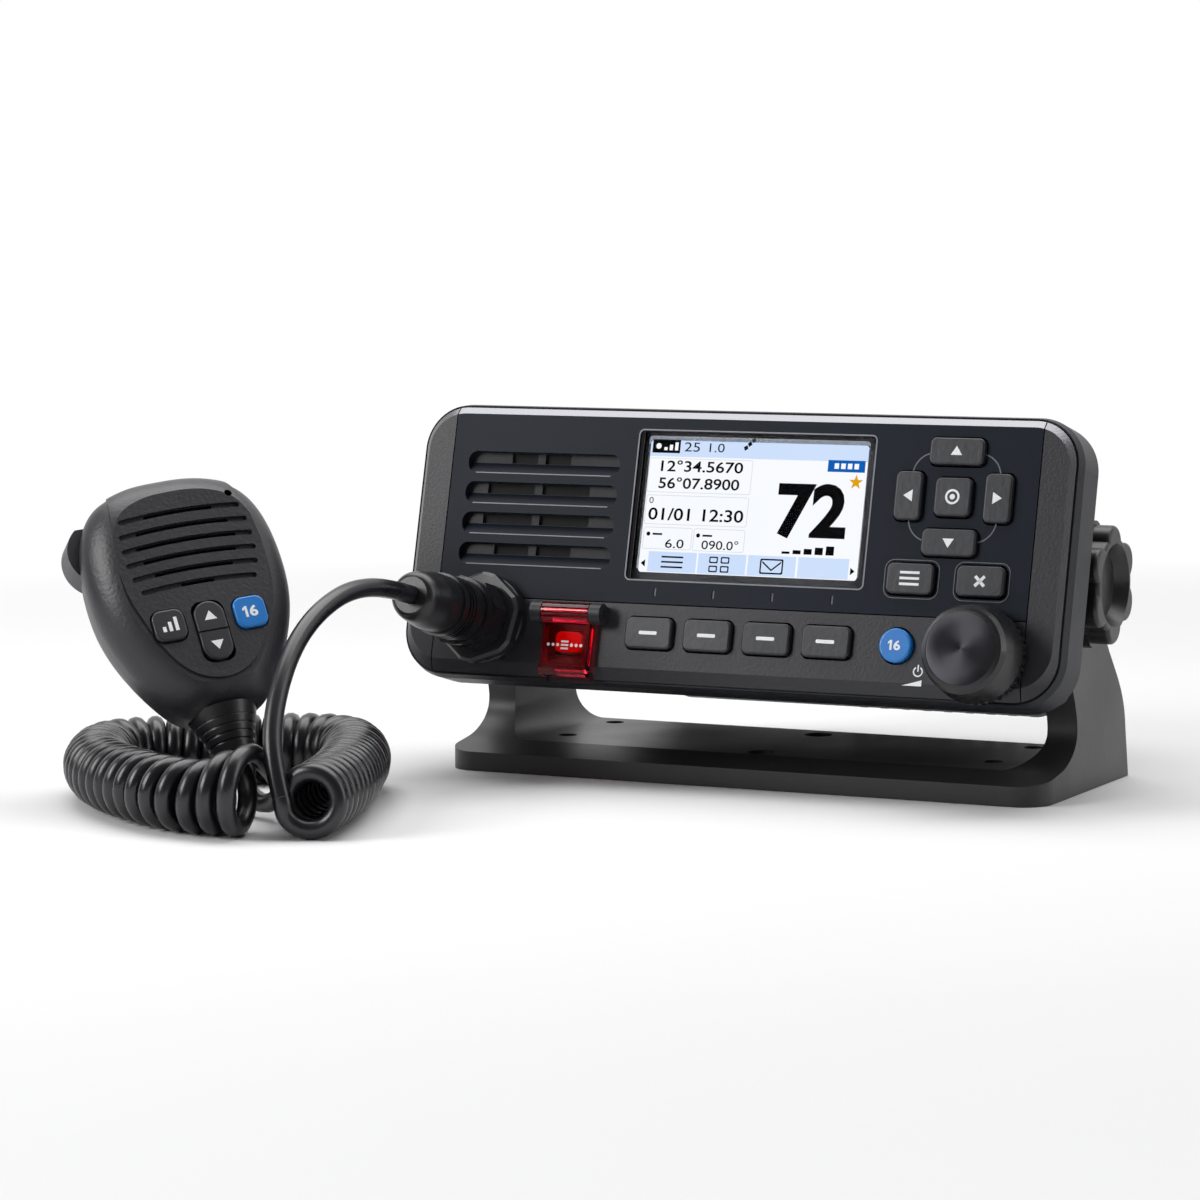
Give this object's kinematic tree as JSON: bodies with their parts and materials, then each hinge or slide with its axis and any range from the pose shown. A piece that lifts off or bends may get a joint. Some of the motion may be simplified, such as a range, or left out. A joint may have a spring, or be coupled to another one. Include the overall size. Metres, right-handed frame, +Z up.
{
  "type": "vhf marine radio",
  "caption": "Fixed-mount VHF marine radio with colour screen, keys and push dial, tilting on a U bracket, with a fist microphone on a curly cord.",
  "frame": {"origin": "centre of the underside of the bracket's base plate", "axes": "+Z up, -Y the way the screen and keys look, +X to the right of the radio seen from the front"},
  "size_m": [0.2432, 0.2401, 0.0953],
  "materials": {
    "bracket_plastic": "satin black moulded plastic",
    "knob_plastic": "satin black moulded plastic",
    "housing_plastic": "fine textured dark grey plastic",
    "panel_paint": "satin dark blue-grey",
    "cheek_plastic": "grained dark grey plastic",
    "window_clear": "clear polished window",
    "lcd_glass": "lit colour display",
    "key_rubber": "soft satin dark grey",
    "key_blue": "satin blue",
    "mat_rubber": "matte silicone",
    "gasket_rubber": "matte black rubber",
    "circuit_board": "green circuit board",
    "speaker_frame": "black painted steel",
    "encoder_metal": "plain metal",
    "dial_metal": "black knob with a spun face",
    "cover_red": "clear red plastic",
    "button_red": "satin red",
    "pin_black": "black pin with round end caps",
    "socket_plastic": "satin dark grey",
    "plug_plastic": "glossy black",
    "boot_rubber": "satin black rubber",
    "chassis_paint": "black painted die-cast aluminium",
    "screw_steel": "stainless steel",
    "antenna_nickel": "nickel plated",
    "gland_plastic": "black plastic",
    "mic_plastic": "fine textured dark grey plastic",
    "mic_key_grey": "satin dark grey",
    "cord_black": "glossy black"
  },
  "bodies": {
    "bracket": {"bracket": "bracket_plastic", "bracket_washers": "gasket_rubber", "cord_lead": "cord_black", "cord_coil": "cord_black", "cord_tail": "cord_black", "mic_front_shell": "mic_plastic", "mic_rear_shell": "mic_plastic", "mic_speaker": "speaker_frame", "mic_board": "circuit_board", "mic_hanger_stud": "antenna_nickel", "mic_boot": "boot_rubber", "mic_screws": "screw_steel"},
    "radio": {"front_housing": "housing_plastic", "left_cheek": "cheek_plastic", "right_cheek": "cheek_plastic", "upper_panel": "panel_paint", "lower_panel": "cheek_plastic", "display_window": "window_clear", "lcd_module": "lcd_glass", "front_board": "circuit_board", "key_mat": "mat_rubber", "front_gasket": "gasket_rubber", "speaker": "speaker_frame", "encoder": "encoder_metal", "distress_pin": "pin_black", "mic_socket": "socket_plastic", "plug_body": "plug_plastic", "plug_boot": "boot_rubber", "chassis": "chassis_paint", "main_board": "circuit_board", "housing_screws": "screw_steel", "antenna_socket": "antenna_nickel", "power_gland": "gland_plastic", "data_socket": "gland_plastic"},
    "clamp_left": {"knob_left": "knob_plastic", "knob_bolt_left": "screw_steel"},
    "clamp_right": {"knob_right": "knob_plastic", "knob_bolt_right": "screw_steel"},
    "dial_plunger": {"encoder_plunger": "encoder_metal"},
    "dial": {"dial_shaft": "encoder_metal", "dial_knob": "dial_metal"},
    "distress_flap": {"distress_cover": "cover_red"},
    "plug_ring": {"plug_nut": "plug_plastic"},
    "transmit": {"ptt_button": "mic_key_grey"},
    "mic_left_key": {"mic_key_power": "mic_key_grey"},
    "mic_right_key": {"mic_key_sixteen": "key_blue"},
    "mic_channel": {"mic_rocker": "mic_key_grey"},
    "key_up_cap": {"key_up": "key_rubber"},
    "key_down_cap": {"key_down": "key_rubber"},
    "key_left_cap": {"key_left": "key_rubber"},
    "key_right_cap": {"key_right": "key_rubber"},
    "key_enter_cap": {"key_enter": "key_rubber"},
    "key_menu_cap": {"key_menu": "key_rubber"},
    "key_clear_cap": {"key_clear": "key_rubber"},
    "key_sixteen_cap": {"key_sixteen": "key_blue"},
    "soft_key_1_cap": {"soft_key_1": "key_rubber"},
    "soft_key_2_cap": {"soft_key_2": "key_rubber"},
    "soft_key_3_cap": {"soft_key_3": "key_rubber"},
    "soft_key_4_cap": {"soft_key_4": "key_rubber"},
    "distress_button_cap": {"distress_button": "button_red"}
  },
  "joints": [
    {"name": "tilt", "type": "hinge", "parent": "bracket", "child": "radio", "pos_m": [0, -0.004, 0.053], "axis": [-1, 0, 0], "range_deg": [-25, 6], "deforming": ["cord_lead"]},
    {"name": "clamp_left_turn", "type": "hinge", "parent": "radio", "child": "clamp_left", "pos_m": [-0.0883, -0.004, 0.053], "axis": [-1, 0, 0], "range_deg": [0, 720]},
    {"name": "clamp_right_turn", "type": "hinge", "parent": "radio", "child": "clamp_right", "pos_m": [0.0883, -0.004, 0.053], "axis": [1, 0, 0], "range_deg": [0, 720]},
    {"name": "dial_press", "type": "slide", "parent": "radio", "child": "dial_plunger", "axis": [0, 0.9694, -0.2453], "range_m": [0, 0.0006], "stiffness_N_per_m": 900, "springref_m": -0.0008},
    {"name": "dial_turn", "type": "hinge", "parent": "dial_plunger", "child": "dial", "pos_m": [0.0706, -0.04507, 0.0391], "axis": [0, -0.9694, 0.2453], "continuous": true},
    {"name": "distress_cover_lift", "type": "hinge", "parent": "radio", "child": "distress_flap", "pos_m": [-0.0415, -0.04176, 0.04399], "axis": [-1, 0, 0], "range_deg": [0, 110], "stiffness_Nm_per_rad": 0.004, "springref_deg": -28.65},
    {"name": "plug_ring_turn", "type": "hinge", "parent": "radio", "child": "plug_ring", "pos_m": [-0.0662, -0.05062, 0.04365], "axis": [0, -0.9694, 0.2453], "range_deg": [0, 720]},
    {"name": "transmit_press", "type": "slide", "parent": "bracket", "child": "transmit", "axis": [0.6332, 0.7648, 0.1189], "range_m": [0, 0.0015], "stiffness_N_per_m": 900, "springref_m": -0.001},
    {"name": "mic_left_key_press", "type": "slide", "parent": "bracket", "child": "mic_left_key", "axis": [-0.6367, 0.6021, -0.4818], "range_m": [0, 0.0006], "stiffness_N_per_m": 900, "springref_m": -0.0005},
    {"name": "mic_right_key_press", "type": "slide", "parent": "bracket", "child": "mic_right_key", "axis": [-0.6367, 0.6021, -0.4818], "range_m": [0, 0.0006], "stiffness_N_per_m": 900, "springref_m": -0.0005},
    {"name": "mic_rocker_rock", "type": "hinge", "parent": "bracket", "child": "mic_channel", "pos_m": [-0.102, -0.1172, 0.04258], "axis": [0.6332, 0.7648, 0.1189], "range_deg": [-3.5, 3.5], "stiffness_Nm_per_rad": 0.03},
    {"name": "key_up_press", "type": "slide", "parent": "radio", "child": "key_up_cap", "axis": [0, 0.9694, -0.2453], "range_m": [0, 0.0008], "stiffness_N_per_m": 900, "springref_m": -0.0005},
    {"name": "key_down_press", "type": "slide", "parent": "radio", "child": "key_down_cap", "axis": [0, 0.9694, -0.2453], "range_m": [0, 0.0008], "stiffness_N_per_m": 900, "springref_m": -0.0005},
    {"name": "key_left_press", "type": "slide", "parent": "radio", "child": "key_left_cap", "axis": [0, 0.9694, -0.2453], "range_m": [0, 0.0008], "stiffness_N_per_m": 900, "springref_m": -0.0005},
    {"name": "key_right_press", "type": "slide", "parent": "radio", "child": "key_right_cap", "axis": [0, 0.9694, -0.2453], "range_m": [0, 0.0008], "stiffness_N_per_m": 900, "springref_m": -0.0005},
    {"name": "key_enter_press", "type": "slide", "parent": "radio", "child": "key_enter_cap", "axis": [0, 0.9694, -0.2453], "range_m": [0, 0.0008], "stiffness_N_per_m": 900, "springref_m": -0.0005},
    {"name": "key_menu_press", "type": "slide", "parent": "radio", "child": "key_menu_cap", "axis": [0, 0.9694, -0.2453], "range_m": [0, 0.0008], "stiffness_N_per_m": 900, "springref_m": -0.0005},
    {"name": "key_clear_press", "type": "slide", "parent": "radio", "child": "key_clear_cap", "axis": [0, 0.9694, -0.2453], "range_m": [0, 0.0008], "stiffness_N_per_m": 900, "springref_m": -0.0005},
    {"name": "key_sixteen_press", "type": "slide", "parent": "radio", "child": "key_sixteen_cap", "axis": [0, 0.9694, -0.2453], "range_m": [0, 0.0008], "stiffness_N_per_m": 900, "springref_m": -0.0005},
    {"name": "soft_key_1_press", "type": "slide", "parent": "radio", "child": "soft_key_1_cap", "axis": [0, 0.9694, -0.2453], "range_m": [0, 0.0008], "stiffness_N_per_m": 900, "springref_m": -0.0005},
    {"name": "soft_key_2_press", "type": "slide", "parent": "radio", "child": "soft_key_2_cap", "axis": [0, 0.9694, -0.2453], "range_m": [0, 0.0008], "stiffness_N_per_m": 900, "springref_m": -0.0005},
    {"name": "soft_key_3_press", "type": "slide", "parent": "radio", "child": "soft_key_3_cap", "axis": [0, 0.9694, -0.2453], "range_m": [0, 0.0008], "stiffness_N_per_m": 900, "springref_m": -0.0005},
    {"name": "soft_key_4_press", "type": "slide", "parent": "radio", "child": "soft_key_4_cap", "axis": [0, 0.9694, -0.2453], "range_m": [0, 0.0008], "stiffness_N_per_m": 900, "springref_m": -0.0005},
    {"name": "distress_button_press", "type": "slide", "parent": "radio", "child": "distress_button_cap", "axis": [0, 0.9694, -0.2453], "range_m": [0, 0.0008], "stiffness_N_per_m": 900, "springref_m": -0.0005}
  ]
}
